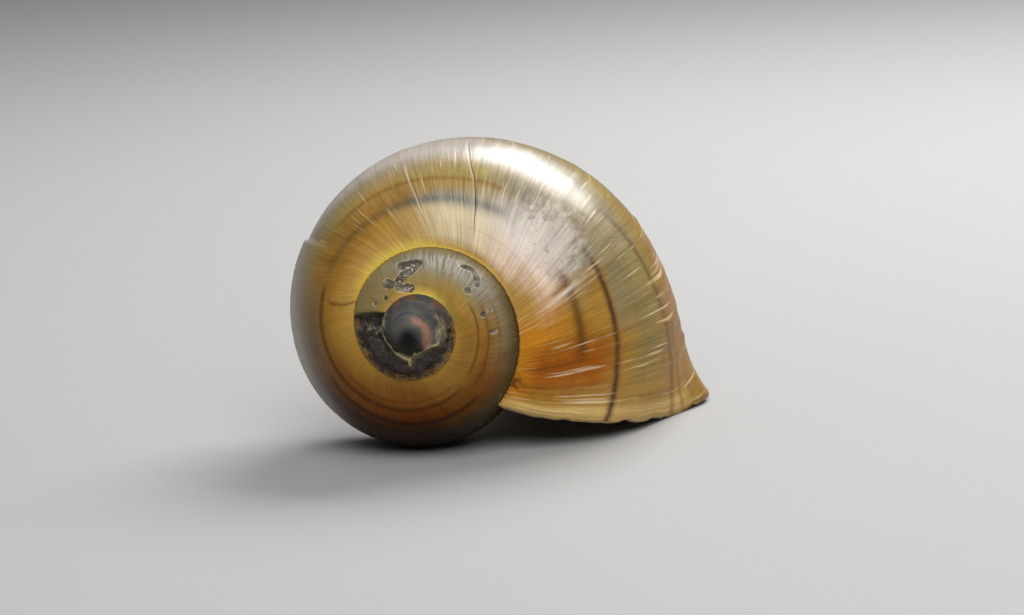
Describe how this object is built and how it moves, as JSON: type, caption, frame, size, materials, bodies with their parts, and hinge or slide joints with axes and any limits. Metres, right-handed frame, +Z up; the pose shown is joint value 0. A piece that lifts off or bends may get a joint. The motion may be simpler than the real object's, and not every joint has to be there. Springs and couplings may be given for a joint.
{
  "type": "apple snail shell",
  "caption": "Empty apple snail shell, round and low-spired with a wide flared mouth, lying on its mouth; a display or prop piece.",
  "frame": {"origin": "centre of the bounding box at the level of the surface it rests on", "axes": "+Z up from the surface; the apex points to -Y, the mouth faces down and its flared outer lip is on the +X side"},
  "size_m": [0.0504, 0.0402, 0.0349],
  "materials": {
    "shell": "glossy worn olive-brown skin over a pale shell wall"
  },
  "bodies": {
    "root": {"shell": "shell"}
  },
  "joints": []
}
